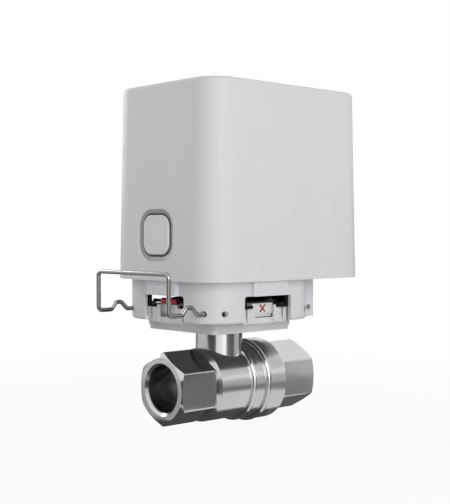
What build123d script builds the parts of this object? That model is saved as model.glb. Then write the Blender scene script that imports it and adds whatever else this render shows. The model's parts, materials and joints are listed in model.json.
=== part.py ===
from build123d import *
import os
from math import atan, atan2, cos, degrees, pi, radians, sin, sqrt

# A motorised half-inch ball valve. The actuator sits over an adapter on the valve's
# neck, turns the ball a quarter turn, and is held down by a wire clip.
# Everything is drawn about the stem axis, with the pipe axis at z = 0, and moved along
# the pipe when it is written, so that the inlet's thread begins at the origin.

# Clearances and cutting overrun
RUNNING_GAP = 0.05
SEATING_GAP = 0.02
LOOSE_GAP = 0.3
OVERRUN = 5.0

# Ball valve, along the pipe axis
FACE_TO_FACE = 75.0
INLET_REACH = 31.0
HEX_FLATS = 26.0
HEX_EDGE_FILLET = 1.0
HEX_FACE_RADIUS = 12.75
HEX_CHAMFER = 1.2
THREAD_RADIUS = 9.3
THREAD_DEPTH = 15.0
MOUTH_RADIUS = 10.5
PORT_RADIUS = 7.0
INLET_HEX_END = -12.9
CONE_START_RADIUS = 13.0
BARREL_START = -11.5
BARREL_RADIUS = 15.0
WAIST_START = 5.9
WAIST_RADIUS = 16.0
COLLAR_START = 13.2
COLLAR_RADIUS = 17.0
COLLAR_END = 23.3
COLLAR_FILLET = 0.8
BEAD_RADIUS = 1.1
BEAD_SUNK = 0.7
SPIGOT_START = 12.0
SPIGOT_RADIUS = 13.45

# Ball, seats and stem
BALL_RADIUS = 11.5
CAVITY_RADIUS = 12.4
SEAT_DEPTH = 4.0
SLOT_WIDTH = 3.9
SLOT_FLOOR = 8.4
TANG_REACH = 6.0
FLANGE_RADIUS = 6.0
FLANGE_LOW = 11.9
FLANGE_TOP = 13.8
WASHER_THICKNESS = 0.55
STEM_RADIUS = 4.5
RING_WIRE = 0.75
RING_GROOVE = 1.9
STEM_RING_HEIGHTS = (16.4, 19.4)
BODY_RING_PLACE = 15.0
STEM_SHOULDER = 26.0
STEM_SQUARE = 6.0
STEM_TOP = 31.3
NECK_RADIUS = 9.7
NECK_TOP = 21.9
GASKET_THICKNESS = 0.6
GASKET_RADIUS = 10.1

# Adapter on the neck
PLATE_HALF = 21.0
PLATE_BEVEL = 1.6
PLATE_TOP = 26.3
PAD_HALF = 10.9
SHELF_TOP = 28.6
SHELF_REACH = 26.4
POST_FRONT = 27.0
POST_LOW = 26.6
POST_TOP = 32.4
POST_INNER = 5.2
POST_OUTER = 9.4
HORN_OUTER = 6.3
HORN_TOP = 33.5
FIN_INNER = 10.4
FIN_OUTER = 12.2
FIN_BACK = 25.6
FIN_FOOT_SINK = 0.6
INLET_POST_STEP = 0.9
CORNER_POST_INNER = 15.0
LUG_LOW = 32.2
LUG_TOP = 33.6
LUG_REACH = 23.5
LUG_INNER = 16.5
LUG_FILLET = 1.2
HEAD_POCKET_RADIUS = 10.2
HEAD_POCKET_FLOOR = 25.5

# Screws: shank radius, head radius, head height, and where they go
ADAPTER_SCREW = (1.4, 2.5, 1.8)
ADAPTER_SCREW_CIRCLE = 7.1
ADAPTER_SCREW_LENGTH = 9.0
HOUSING_SCREW = (1.2, 2.3, 1.4)
HOUSING_SCREW_LENGTH = 4.6
CHASSIS_SCREW_PLACE = 19.5
TRAY_SCREW_PLACE = 15.5
COVER_SCREW = (1.4, 2.6, 1.6)
COVER_SCREW_LENGTH = 12.0
COVER_SCREW_SINK = 1.7
GEARBOX_SCREW = (1.0, 1.9, 1.2)
GEARBOX_SCREW_LENGTH = 8.0
BOARD_SCREW = (0.9, 1.7, 1.0)
BOARD_SCREW_LENGTH = 3.4
SOCKET_SHARE = 0.45

# Position dial and pointer, which turn with the stem
DIAL_REACH = 25.7
DIAL_HALF = 5.7
DIAL_TOP = 34.3
DIAL_LOW = 30.2
DIAL_SKIRT_REACH = 24.9
DIAL_SKIRT_LOW = 28.9
DIAL_HUB_RADIUS = 12.0
SOCKET_STEP = 31.5
MARK_LENGTH = 4.0
MARK_WIDTH = 0.62
MARK_THICKNESS = 0.15
OPEN_MARK_RADIUS = 0.9
OPEN_MARK_BORE = 0.55
POINTER_PLATE = 0.8
POINTER_DISC_RADIUS = 20.4
POINTER_BAR_RADIUS = 0.65
POINTER_BAR_REACH = 26.1
POINTER_BAR_HALF = 10.3
POINTER_BAR_HEIGHT = 35.0
POINTER_ARM_WIDTH = 1.4
SLEEVE_RADIUS = 1.2
SLEEVE_HALF = 4.8
SLEEVE_NOTCH_REACH = 24.5
SLEEVE_NOTCH_LOW = 33.5

# Base housing
BASE_HALF = 29.6
BASE_CORNER = 13.7
BASE_WALL = 1.5
BASE_FOOT_FILLET = 1.3
BASE_LOW = 27.0
BASE_TOP = 43.4
FLOOR_THICKNESS = 1.8
WINDOW_HALF = 12.3
WINDOW_WIDE_HALF = 13.3
WINDOW_TOP = 37.5
WINDOW_CORNER = 1.2
BROW_HALF = 9.7
BROW_REACH = 31.4
BROW_FILLET = 1.3
ANNEX_STEP = 4.6
ANNEX_START = 24.0
ANNEX_HALF = 22.6
ANNEX_LOW = 27.3
ANNEX_CORNER = 2.0
ANNEX_HOLE_INSET = 3.9
CLIP_HOLE_RADIUS = 1.2
CLIP_HEIGHT = 31.1
CLIP_LEG = 22.2
BOSS_RADIUS = 3.0

# Cover
COVER_BACK_OVERHANG = 3.35
COVER_FRONT = 56.2
COVER_SIDE_OVERHANG = 3.4
COVER_CORNER = 13.0
COVER_HEADROOM = 11.1
COVER_DRAFT = 1.55
COVER_WALL = 2.2
COVER_TOP_FILLET = 1.6
COVER_BOSS_RADIUS = 3.2
COVER_BOSS_X = 43.0
COVER_BOSS_INSET = 7.0
COVER_WEB = 1.6
COVER_BOSS_TOP = 62.0
COVER_PILLAR_RADIUS = 3.4
COVER_PILLAR_HEIGHT = 2.0
GROOVE_DEPTH = 1.0
GROOVE_LOW = 43.95
GROOVE_HIGH = 44.85

# Function button on the cover's short face
BUTTON_Y = 1.3
BUTTON_Z = 61.4
BUTTON_SIZE = 15.6
BUTTON_CORNER = 4.7
BUTTON_PROUD = 0.1
BUTTON_THICKNESS = 2.3
BUTTON_DISH = 0.15
BUTTON_EDGE_FILLET = 0.45
BUTTON_RIM = 1.1
BUTTON_STEM_RADIUS = 2.0
BUTTON_TRAVEL = 0.5
MEMBRANE_SIZE = 17.4
MEMBRANE_THICKNESS = 0.8
MEMBRANE_SUNK = 0.7
BEZEL_SIZE = 20.4
BEZEL_SLOPE = 1.3
BEZEL_SLOPE_DEPTH = 0.45
DISH_SIZE = 22.2
DISH_DEPTH = 0.25
BUTTON_RETURN_GAP = 0.1

# Chassis under the base's floor
CHASSIS_LOW = 37.6
CHASSIS_THICKNESS = 1.6
CHASSIS_HALF = 27.9
BEARING_BOSS_RADIUS = 15.8
BEARING_BOSS_LOW = 35.6
FOOT_BACK = 27.0
FOOT_LOW = 32.5
FOOT_TOP = 33.6
FOOT_INNER = 7.2
BLOCK_INNER = 10.6
BLOCK_OUTER = 12.6
BLIND_INNER = 27.3
BLIND_LOW = 27.0

# Output shaft and gear train
OUTPUT_RADIUS = 6.0
OUTPUT_SQUARE = 8.0
OUTPUT_SHOULDER = 35.2
OUTPUT_STEP = 54.4
OUTPUT_JOURNAL = 3.0
BUSH_RADIUS = 8.0
BUSH_LOW = 37.0
BUSH_TOP = 45.2
CAM_LOW = 47.0
CAM_TOP = 48.8
CAM_RADIUS = 9.0
CAM_NOSE = 2.2
CAM_NOSE_RADIUS = 1.6
OUTPUT_GEAR_LOW = 50.0
OUTPUT_GEAR_TOP = 54.0
LARGE_MODULE = 0.8
MIDDLE_MODULE = 0.6
SMALL_MODULE = 0.5
OUTPUT_TEETH = 48
PINION_TEETH = 12
SECOND_TEETH = 36
FIRST_TEETH = 40
BACKLASH = 0.14
PRESSURE_ANGLE = 20
ROOT_SHARE = 1.2
SECOND_ANGLE = -20
FIRST_ANGLE = 75
MOTOR_ANGLE = 0
SECOND_WHEEL_LOW = 54.8
SECOND_WHEEL_TOP = 57.3
FIRST_WHEEL_LOW = 58.0
FIRST_WHEEL_TOP = 60.2
MOTOR_PINION_TOP = 60.6
PIN_RADIUS = 1.25
HUB_RADIUS = 2.3
LIGHTENING_RADIUS = 3.6
LIGHTENING_CIRCLE = 12.2
LIGHTENING_COUNT = 6

# Gearbox case on the base's floor
TRAY_FLOOR = 1.2
TRAY_WALL = 1.2
TRAY_BACK = -22.5
TRAY_FRONT = 51.0
TRAY_HALF = 21.8
TRAY_CORNER = 3.0
TRAY_TOP = 61.4
TRAY_COLUMN = 2.6
TRAY_BOSS_TOP = 48.4
CASE_COVER_THICKNESS = 1.8
PIN_SOCKET_TOP = 47.6

# Limit switches beside the cam
SWITCH_SIZE = (12.8, 5.8, 2.8)
SWITCH_PLACE = 14.6
SWITCH_LEVER = (8.0, 0.3, 2.0)

# Motor standing on the gearbox
MOTOR_RADIUS = 12.0
MOTOR_HEIGHT = 27.0
MOTOR_FILLET = 1.0
MOTOR_SHAFT_RADIUS = 1.0
MOTOR_BOSS_RADIUS = 4.0
END_BELL_HEIGHT = 3.0
END_BELL_RADIUS = 11.4
TERMINAL_SIZE = (2.2, 0.5, 4.0)
TERMINAL_PLACE = 7.0

# Batteries and their holder
CELL_RADIUS = 8.5
CELL_HEIGHT = 33.5
CELL_CAP_RADIUS = 3.0
CELL_CAP_HEIGHT = 1.0
CELL_COUNT = 4
CELL_PITCH = 17.4
CELL_ROW_Y = -17.6
CELL_ROW_START = -14.5
HOLDER_LOW = 74.0
HOLDER_FLOOR = 1.6
HOLDER_MARGIN = 1.0
HOLDER_SIDE_HEIGHT = 9.0
HOLDER_CORNER = 2.0
HOLDER_LEG_RADIUS = 2.2
HOLDER_LEGS = ((-14.0, -19.0), (40.0, -19.0), (-14.0, -11.0), (40.0, -11.0))
CONTACT_THICKNESS = 0.3
CONTACT_WIDTH = 10.0
STRAP_THICKNESS = 1.6
STRAP_POST = 2.4

# Main board and what it carries, standing along one long wall
BOARD_BACK = -22.0
BOARD_FRONT = 24.0
BOARD_Y = 23.6
BOARD_THICKNESS = 1.6
BOARD_LOW = 65.0
BOARD_TOP = 111.0
BOARD_POST = 3.0
BOARD_POST_INSET = 8.0
BOARD_SCREW_INSET = 5.0
RADIO_SIZE = (16.0, 2.4, 20.0)
RADIO_PLACE = (4.5, 92.0)
DRIVER_SIZE = (7.0, 1.6, 7.0)
DRIVER_PLACE = (-7.5, 84.0)
SOCKET_SIZE = (6.0, 4.0, 5.0)
SOCKET_PLACES = ((9.5, 70.0), (-7.5, 100.0), (-7.5, 71.0))
CAPACITOR_RADIUS = 3.2
CAPACITOR_LENGTH = 9.0
CAPACITOR_PLACES = ((2.5, 70.0), (2.5, 77.2))
ANTENNA_RADIUS = 0.5
ANTENNA_WIDTH = 18.0
ANTENNA_RISE = 4.0
ANTENNA_LIFT = 2.0
ANTENNA_BEND = 1.4

# Button board behind the button
BUTTON_BOARD_THICKNESS = 1.2
BUTTON_BOARD_HALF = 9.5
BUTTON_BOARD_TOP = 71.5
BUTTON_BOARD_FACE = -27.0
RAIL_WIDTH = 2.4
RAIL_DEPTH = 1.6
RAIL_OFFSET = 6.5
TACT_SIZE = (1.8, 6.2, 6.2)
PLUNGER_RADIUS = 1.6
PLUNGER_LENGTH = 1.6
PLUNGER_PROUD = 0.7

# Leads
LEAD_RADIUS = 0.6
LEAD_BEND = 4.0
LEAD_SPREAD = 2.0

# Wire clip
WIRE_RADIUS = 0.88
CLIP_TIP = -15.6
CLIP_BUMP_START = -31.0
CLIP_BUMP_HIGH_START = -34.0
CLIP_BUMP_HIGH_END = -36.6
CLIP_BUMP_END = -38.8
CLIP_BUMP_TOP = 34.0
CLIP_END = -45.2
CLIP_BAR_HEIGHT = 46.8
CLIP_BEND = 1.7

# Places worked out from the sizes above
OUTLET_REACH = FACE_TO_FACE - INLET_REACH
MOUTH_SINK = MOUTH_RADIUS - THREAD_RADIUS
SWEEP_RADIUS = sqrt(DIAL_REACH**2 + DIAL_HALF**2) + LOOSE_GAP
MARK_HEIGHT = (DIAL_LOW + DIAL_TOP) / 2
ANNEX_REACH = BASE_HALF + ANNEX_STEP
ANNEX_HOLE_PLACE = ANNEX_REACH - ANNEX_HOLE_INSET
CELL_LOW = HOLDER_LOW + HOLDER_FLOOR + CONTACT_THICKNESS
CELL_TOP = CELL_LOW + CELL_HEIGHT + CELL_CAP_HEIGHT
COVER_BACK = -(BASE_HALF + COVER_BACK_OVERHANG)
COVER_HALF = BASE_HALF + COVER_SIDE_OVERHANG
COVER_TOP = CELL_TOP + COVER_HEADROOM
COVER_BOSS_Y = COVER_HALF - COVER_BOSS_INSET
HEX_CORNER_RADIUS = HEX_FLATS / sqrt(3)
PLATE_LOW = NECK_TOP + GASKET_THICKNESS
FLOOR_TOP = BASE_TOP + FLOOR_THICKNESS
COVER_PILLAR_TOP = FLOOR_TOP + COVER_PILLAR_HEIGHT
COVER_SCREW_SEAT = BASE_TOP + COVER_SCREW_SINK
CHASSIS_TOP = CHASSIS_LOW + CHASSIS_THICKNESS
CHASSIS_SCREW_SEAT = CHASSIS_TOP - CHASSIS_THICKNESS / 2
CASE_TOP = TRAY_TOP + CASE_COVER_THICKNESS
TRAY_INNER_FLOOR = FLOOR_TOP + TRAY_FLOOR
COVER_TAPER = degrees(atan(COVER_DRAFT / (COVER_TOP - BASE_TOP)))
BUTTON_WALL_X = COVER_BACK + COVER_DRAFT * (BUTTON_Z - BASE_TOP) / (COVER_TOP - BASE_TOP)
BUTTON_FACE = BUTTON_WALL_X - BUTTON_PROUD
BUTTON_BACK = BUTTON_FACE + BUTTON_THICKNESS
TACT_FACE = BUTTON_BOARD_FACE - TACT_SIZE[0]
PLUNGER_TIP = TACT_FACE - PLUNGER_PROUD
CELL_PLACES = [CELL_ROW_START + CELL_PITCH * index for index in range(CELL_COUNT)]
MOTOR_TOP = CASE_TOP + MOTOR_HEIGHT

parts = {}


def slab(x, y, z):
    """A box between the low and high limits of each axis."""
    middle = Pos((x[0] + x[1]) / 2, (y[0] + y[1]) / 2, (z[0] + z[1]) / 2)
    return middle * Box(x[1] - x[0], y[1] - y[0], z[1] - z[0])


def rounded_slab(x, y, z, corner):
    """A box with rounded upright corners."""
    outline = RectangleRounded(x[1] - x[0], y[1] - y[0], corner)
    return extrude(Pos((x[0] + x[1]) / 2, (y[0] + y[1]) / 2, z[0]) * outline, amount=z[1] - z[0])


def upright(radius, low, high, x=0, y=0):
    """A vertical cylinder."""
    return Pos(x, y, (low + high) / 2) * Cylinder(radius, high - low)


def along_x(radius, low, high, y=0, z=0):
    """A cylinder parallel to the pipe."""
    return Pos((low + high) / 2, y, z) * Rot(0, 90, 0) * Cylinder(radius, high - low)


def along_y(radius, low, high, x=0, z=0):
    """A cylinder square to the pipe and level."""
    return Pos(x, (low + high) / 2, z) * Rot(90, 0, 0) * Cylinder(radius, high - low)


def four_ways(shape):
    """The shape and its copies turned to the other three sides."""
    return [Rot(0, 0, 90 * turn) * shape for turn in range(4)]


def corners(distance_x, distance_y):
    """The four places at these distances from the stem axis."""
    return [(sx * distance_x, sy * distance_y) for sx in (-1, 1) for sy in (-1, 1)]


def screw(size, length):
    """A pan-head screw with its head's underside at the origin and its shank downwards."""
    shank_radius, head_radius, head_height = size
    head = upright(head_radius, 0, head_height)
    head = fillet(head.edges().group_by(Axis.Z)[-1], head_height / 3)
    shank = upright(shank_radius, -length, 0)
    socket = Pos(0, 0, head_height) * extrude(RegularPolygon(head_radius * SOCKET_SHARE, 6), -head_height / 2)
    return head + shank - socket


def hex_bar(low, high):
    """A hexagonal bar along the pipe with soft edges and a turned chamfer at each end."""
    outline = RegularPolygon(HEX_CORNER_RADIUS, 6, rotation=30)
    bar = extrude(Plane.YZ.offset(low) * outline, amount=high - low)
    bar = fillet(bar.edges().filter_by(Axis.X), HEX_EDGE_FILLET)
    turned = along_x(HEX_CORNER_RADIUS, low, high)
    turned = chamfer(
        turned.edges().filter_by(GeomType.CIRCLE),
        HEX_CHAMFER,
        HEX_CORNER_RADIUS - HEX_FACE_RADIUS,
    )
    return bar & turned


def threaded_mouth(mouth, inward):
    """The bore of a threaded port, with its countersink, from the mouth inwards."""
    from_mouth = (Align.CENTER, Align.CENTER, Align.MIN)
    bore = Cylinder(THREAD_RADIUS, THREAD_DEPTH, align=from_mouth)
    sink = Cone(MOUTH_RADIUS, THREAD_RADIUS, MOUTH_SINK, align=from_mouth)
    return Pos(mouth, 0, 0) * Rot(0, 90 * inward, 0) * (bore + sink)


def valve_body():
    inlet = -INLET_REACH
    hexagon = hex_bar(inlet, INLET_HEX_END)
    cone_length = BARREL_START - INLET_HEX_END
    cone = Cone(CONE_START_RADIUS, BARREL_RADIUS, cone_length)
    cone = Pos((BARREL_START + INLET_HEX_END) / 2, 0, 0) * Rot(0, 90, 0) * cone
    barrel = along_x(BARREL_RADIUS, BARREL_START, WAIST_START)
    waist = along_x(WAIST_RADIUS, WAIST_START, COLLAR_START)
    collar = along_x(COLLAR_RADIUS, COLLAR_START, COLLAR_END)
    collar = fillet(collar.edges().filter_by(GeomType.CIRCLE), COLLAR_FILLET)
    body = hexagon + cone + barrel + waist + collar
    for place, radius in ((WAIST_START, WAIST_RADIUS), (COLLAR_START, COLLAR_RADIUS)):
        body += Pos(place, 0, 0) * Rot(0, 90, 0) * Torus(radius - BEAD_SUNK, BEAD_RADIUS)
    body += upright(NECK_RADIUS, 0, NECK_TOP)
    body -= threaded_mouth(inlet, 1)
    body -= along_x(PORT_RADIUS, inlet, 0)
    body -= along_x(CAVITY_RADIUS, -SPIGOT_START, SPIGOT_START)
    body -= along_x(SPIGOT_RADIUS + RUNNING_GAP, SPIGOT_START, COLLAR_END + OVERRUN)
    body -= upright(STEM_RADIUS + RUNNING_GAP, 0, NECK_TOP + OVERRUN)
    body -= upright(FLANGE_RADIUS + RUNNING_GAP, 0, FLANGE_TOP + WASHER_THICKNESS)
    pilot_low = HEAD_POCKET_FLOOR - ADAPTER_SCREW_LENGTH
    for x, y in adapter_screw_places():
        body -= upright(ADAPTER_SCREW[0] + SEATING_GAP, pilot_low, PLATE_TOP, x, y)
    parts["valve_body"] = body


def adapter_screw_places():
    side = ADAPTER_SCREW_CIRCLE / sqrt(2)
    return corners(side, side)


def valve_end_piece():
    piece = hex_bar(COLLAR_END, OUTLET_REACH)
    piece += along_x(SPIGOT_RADIUS, SPIGOT_START, COLLAR_END)
    piece -= along_x(PORT_RADIUS, SPIGOT_START - OVERRUN, OUTLET_REACH)
    piece -= threaded_mouth(OUTLET_REACH, -1)
    half_groove = RING_GROOVE / 2
    groove = along_x(SPIGOT_RADIUS + OVERRUN, BODY_RING_PLACE - half_groove, BODY_RING_PLACE + half_groove)
    groove -= along_x(SPIGOT_RADIUS - 2 * RING_WIRE, SPIGOT_START, COLLAR_END)
    parts["valve_end_piece"] = piece - groove
    ring = Torus(SPIGOT_RADIUS - RING_WIRE, RING_WIRE)
    parts["body_o_ring"] = Pos(BODY_RING_PLACE, 0, 0) * Rot(0, 90, 0) * ring


def ball_and_seats():
    ball = Sphere(BALL_RADIUS) - along_y(PORT_RADIUS, -BALL_RADIUS - OVERRUN, BALL_RADIUS + OVERRUN)
    half_slot = SLOT_WIDTH / 2
    reach = BALL_RADIUS + OVERRUN
    ball -= slab((-reach, reach), (-half_slot, half_slot), (SLOT_FLOOR, reach))
    parts["ball"] = ball
    seat_face = SPIGOT_START - SEAT_DEPTH
    seat = along_x(CAVITY_RADIUS - RUNNING_GAP, -SPIGOT_START, -seat_face)
    seat -= along_x(PORT_RADIUS, -SPIGOT_START, -seat_face)
    seat -= Sphere(BALL_RADIUS + RUNNING_GAP)
    parts["seat_inlet"] = seat
    parts["seat_outlet"] = Rot(0, 0, 180) * seat


def stem():
    half_tang = SLOT_WIDTH / 2 - RUNNING_GAP
    piece = slab((-TANG_REACH, TANG_REACH), (-half_tang, half_tang), (SLOT_FLOOR + RUNNING_GAP, FLANGE_LOW))
    piece &= upright(FLANGE_RADIUS, SLOT_FLOOR, FLANGE_LOW)
    piece += upright(FLANGE_RADIUS, FLANGE_LOW, FLANGE_TOP)
    piece += upright(STEM_RADIUS, FLANGE_TOP, STEM_SHOULDER)
    half = STEM_SQUARE / 2
    piece += slab((-half, half), (-half, half), (STEM_SHOULDER, STEM_TOP))
    rings = []
    for height in STEM_RING_HEIGHTS:
        groove = upright(STEM_RADIUS + OVERRUN, height - RING_GROOVE / 2, height + RING_GROOVE / 2)
        piece -= groove - upright(STEM_RADIUS - 2 * RING_WIRE, FLANGE_TOP, STEM_SHOULDER)
        rings.append(Pos(0, 0, height) * Torus(STEM_RADIUS - RING_WIRE, RING_WIRE))
    parts["stem"] = piece
    parts["stem_o_rings"] = rings
    washer = upright(FLANGE_RADIUS, FLANGE_TOP + RUNNING_GAP, FLANGE_TOP + WASHER_THICKNESS)
    parts["stem_thrust_washer"] = washer - upright(STEM_RADIUS + RUNNING_GAP, 0, NECK_TOP)
    gasket = upright(GASKET_RADIUS, NECK_TOP, PLATE_LOW)
    gasket -= upright(STEM_RADIUS + LOOSE_GAP, NECK_TOP, PLATE_LOW)
    for x, y in adapter_screw_places():
        gasket -= upright(ADAPTER_SCREW[0] + SEATING_GAP, NECK_TOP, PLATE_LOW, x, y)
    parts["neck_gasket"] = gasket


def window_posts():
    """The shelf, posts and fins that stand in the window on the +Y side."""
    shelf = slab((-PAD_HALF, PAD_HALF), (0, SHELF_REACH), (PLATE_TOP, SHELF_TOP))
    pieces = [shelf]
    for side in (-1, 1):
        front = (SWEEP_RADIUS - OVERRUN, POST_FRONT)
        post_x = sorted((side * POST_INNER, side * POST_OUTER))
        horn_x = sorted((side * POST_INNER, side * HORN_OUTER))
        fin_x = sorted((side * FIN_INNER, side * FIN_OUTER))
        posts = slab(post_x, front, (POST_LOW, POST_TOP)) + slab(horn_x, front, (POST_LOW, HORN_TOP))
        posts -= upright(SWEEP_RADIUS, POST_LOW, HORN_TOP)
        foot_x = (min(fin_x[0], post_x[0]), max(fin_x[1], post_x[1]))
        foot = slab(foot_x, (FIN_BACK, POST_FRONT - FIN_FOOT_SINK), (POST_LOW, SHELF_TOP))
        fin = slab(fin_x, (FIN_BACK, POST_FRONT), (POST_LOW, POST_TOP))
        pieces += [posts, foot, fin]
    return pieces


def adapter():
    plate = slab((-PLATE_HALF, PLATE_HALF), (-PLATE_HALF, PLATE_HALF), (PLATE_LOW, PLATE_TOP))
    plate = chamfer(plate.edges().filter_by(Axis.Z), PLATE_BEVEL)
    body = plate
    for piece in window_posts():
        for step, turned in zip((0, INLET_POST_STEP, 0, 0), four_ways(piece)):
            body += Pos(-step, 0, 0) * turned
    for sx, sy in corners(1, 1):
        post_x = sorted((sx * CORNER_POST_INNER, sx * (PLATE_HALF - LOOSE_GAP)))
        post_y = sorted((sy * CORNER_POST_INNER, sy * (PLATE_HALF - LOOSE_GAP)))
        lug_x = sorted((sx * LUG_INNER, sx * LUG_REACH))
        lug_y = sorted((sy * LUG_INNER, sy * LUG_REACH))
        lug = rounded_slab(lug_x, lug_y, (LUG_LOW, LUG_TOP), LUG_FILLET)
        post = slab(post_x, post_y, (PLATE_LOW + PLATE_BEVEL, LUG_TOP))
        body += (post + lug) - upright(SWEEP_RADIUS, PLATE_TOP, LUG_TOP)
    body -= upright(STEM_RADIUS + LOOSE_GAP, PLATE_LOW - OVERRUN, SHELF_TOP + OVERRUN)
    body -= upright(HEAD_POCKET_RADIUS, HEAD_POCKET_FLOOR, SHELF_TOP + OVERRUN)
    fixings = []
    for x, y in adapter_screw_places():
        body -= upright(ADAPTER_SCREW[0] + SEATING_GAP, PLATE_LOW - OVERRUN, HEAD_POCKET_FLOOR, x, y)
        fixings.append(Pos(x, y, HEAD_POCKET_FLOOR) * screw(ADAPTER_SCREW, ADAPTER_SCREW_LENGTH))
    parts["adapter"] = body
    parts["adapter_screws"] = fixings


def cross_mark():
    """A plain cross of two bars, in the XZ plane and one mark's thickness deep in -Y."""
    bar = Box(MARK_LENGTH, MARK_THICKNESS, MARK_WIDTH)
    mark = Rot(0, 45, 0) * bar + Rot(0, -45, 0) * bar
    return Pos(0, -MARK_THICKNESS / 2, 0) * mark


def dial():
    body = upright(DIAL_HUB_RADIUS, DIAL_SKIRT_LOW, DIAL_TOP)
    for turned in four_ways(slab((-DIAL_HALF, DIAL_HALF), (0, DIAL_REACH), (DIAL_LOW, DIAL_TOP))):
        body += turned
    for turned in four_ways(slab((-DIAL_HALF, DIAL_HALF), (0, DIAL_SKIRT_REACH), (DIAL_SKIRT_LOW, DIAL_LOW))):
        body += turned
    stem_half = STEM_SQUARE / 2 + RUNNING_GAP
    shaft_half = OUTPUT_SQUARE / 2 + RUNNING_GAP
    body -= slab((-stem_half, stem_half), (-stem_half, stem_half), (DIAL_SKIRT_LOW, SOCKET_STEP))
    body -= slab((-shaft_half, shaft_half), (-shaft_half, shaft_half), (SOCKET_STEP, DIAL_TOP))
    notch_x = (-DIAL_REACH - OVERRUN, -SLEEVE_NOTCH_REACH)
    notch_y = DIAL_HALF + OVERRUN
    body -= slab(notch_x, (-notch_y, notch_y), (SLEEVE_NOTCH_LOW, DIAL_TOP))
    parts["position_dial"] = body
    front = Pos(0, -DIAL_REACH, MARK_HEIGHT) * cross_mark()
    parts["closed_marks"] = [front, Rot(0, 0, 180) * front]
    ring = along_x(OPEN_MARK_RADIUS, DIAL_REACH, DIAL_REACH + MARK_THICKNESS, 0, MARK_HEIGHT)
    ring -= along_x(OPEN_MARK_BORE, DIAL_REACH, DIAL_REACH + MARK_THICKNESS, 0, MARK_HEIGHT)
    parts["open_marks"] = [ring, Rot(0, 0, 180) * ring]


def pointer():
    plate_top = DIAL_TOP + POINTER_PLATE
    body = upright(POINTER_DISC_RADIUS, DIAL_TOP, plate_top)
    for side in (-1, 1):
        arm_y = sorted((side * POINTER_BAR_HALF, side * (POINTER_BAR_HALF - POINTER_ARM_WIDTH)))
        body += slab((-POINTER_BAR_REACH, 0), arm_y, (DIAL_TOP, plate_top))
    bar_place = (-POINTER_BAR_REACH, POINTER_BAR_HEIGHT)
    body += along_y(POINTER_BAR_RADIUS, -POINTER_BAR_HALF, POINTER_BAR_HALF, *bar_place)
    half = OUTPUT_SQUARE / 2 + RUNNING_GAP
    body -= slab((-half, half), (-half, half), (DIAL_TOP, plate_top))
    parts["pointer"] = body
    sleeve = along_y(SLEEVE_RADIUS, -SLEEVE_HALF, SLEEVE_HALF, *bar_place)
    sleeve -= along_y(POINTER_BAR_RADIUS + SEATING_GAP, -SLEEVE_HALF, SLEEVE_HALF, *bar_place)
    parts["pointer_sleeve"] = sleeve


def cover_inside(inset, z):
    """An upright block with the cover's inner outline at its foot, drawn in by inset."""
    edge = COVER_WALL + inset
    x = (COVER_BACK + edge, COVER_FRONT - edge)
    y = (-COVER_HALF + edge, COVER_HALF - edge)
    return rounded_slab(x, y, z, COVER_CORNER - edge)


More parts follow.
